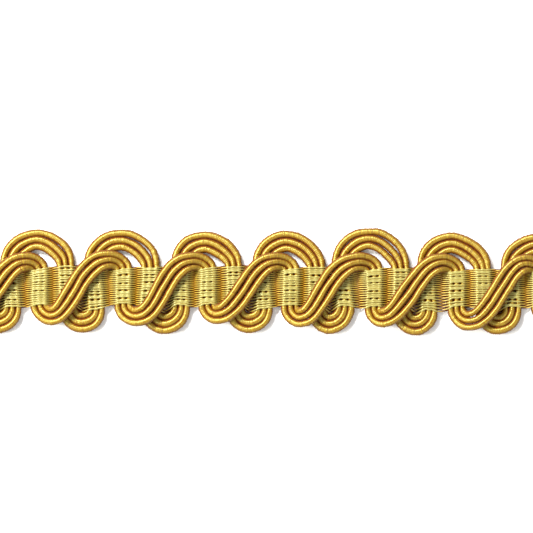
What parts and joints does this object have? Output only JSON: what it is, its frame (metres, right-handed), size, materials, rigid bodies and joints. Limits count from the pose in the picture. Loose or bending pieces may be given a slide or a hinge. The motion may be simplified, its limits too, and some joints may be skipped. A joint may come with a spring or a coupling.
{
  "type": "gimp braid trim",
  "caption": "Flat golden braid trim: a narrow woven band binds wrapped gimp cords that loop at both edges and cross its face as raised scrolls, to cover tacks and seams.",
  "frame": {"origin": "middle of the trim's length and width, on its flat back", "axes": "+X along the trim, +Y across it towards the big loops, +Z out of its face"},
  "size_m": [0.1016, 0.016, 0.0026],
  "materials": {
    "band_threads": "fine satin warp threads, pale greenish gold, woven over the cords",
    "wrapped_cord": "satin gold cord, closely wrapped with fine thread"
  },
  "bodies": {
    "root": {"woven_band": "band_threads", "scroll_cord_1": "wrapped_cord", "scroll_cord_2": "wrapped_cord", "scroll_cord_3": "wrapped_cord", "meander_cord_1": "wrapped_cord", "meander_cord_2": "wrapped_cord", "meander_cord_3": "wrapped_cord"}
  },
  "joints": []
}
